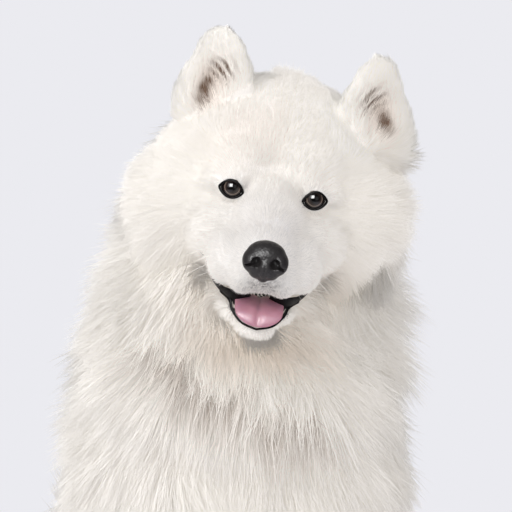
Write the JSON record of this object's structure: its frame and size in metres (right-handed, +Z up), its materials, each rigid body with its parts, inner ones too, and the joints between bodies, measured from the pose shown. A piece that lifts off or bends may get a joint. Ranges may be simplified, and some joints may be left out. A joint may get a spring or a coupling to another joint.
{
  "type": "samoyed",
  "caption": "White spitz dog with a thick stand-off coat, sitting upright, head turned and tilted, mouth open, tail laid over its back.",
  "frame": {"origin": "middle of the bounding box on the floor under the sitting dog", "axes": "+Z up, -Y the way the chest faces, +X to the dog's left; the head is turned to the dog's right"},
  "size_m": [0.4604, 0.748, 0.7909],
  "materials": {
    "white_coat": "long soft white hair",
    "nose_leather": "black pebbled satin",
    "tongue": "moist pink",
    "eye": "wet dark brown",
    "black_skin": "dark satin skin of lids and lips",
    "claw_horn": "dull dark horn"
  },
  "bodies": {
    "root": {"chest": "white_coat", "ear_left": "white_coat", "ear_right": "white_coat", "eye_left": "eye", "eye_right": "eye", "foreleg_left": "white_coat", "foreleg_right": "white_coat", "forepaw_left": "white_coat", "forepaw_right": "white_coat", "head": "white_coat", "hind_foot_left": "white_coat", "hind_foot_right": "white_coat", "lower_jaw": "white_coat", "neck": "white_coat", "nose": "nose_leather", "rump": "white_coat", "tail_root": "white_coat", "tail_tip": "white_coat", "thigh_left": "white_coat", "thigh_right": "white_coat", "tongue": "tongue"}
  },
  "joints": []
}
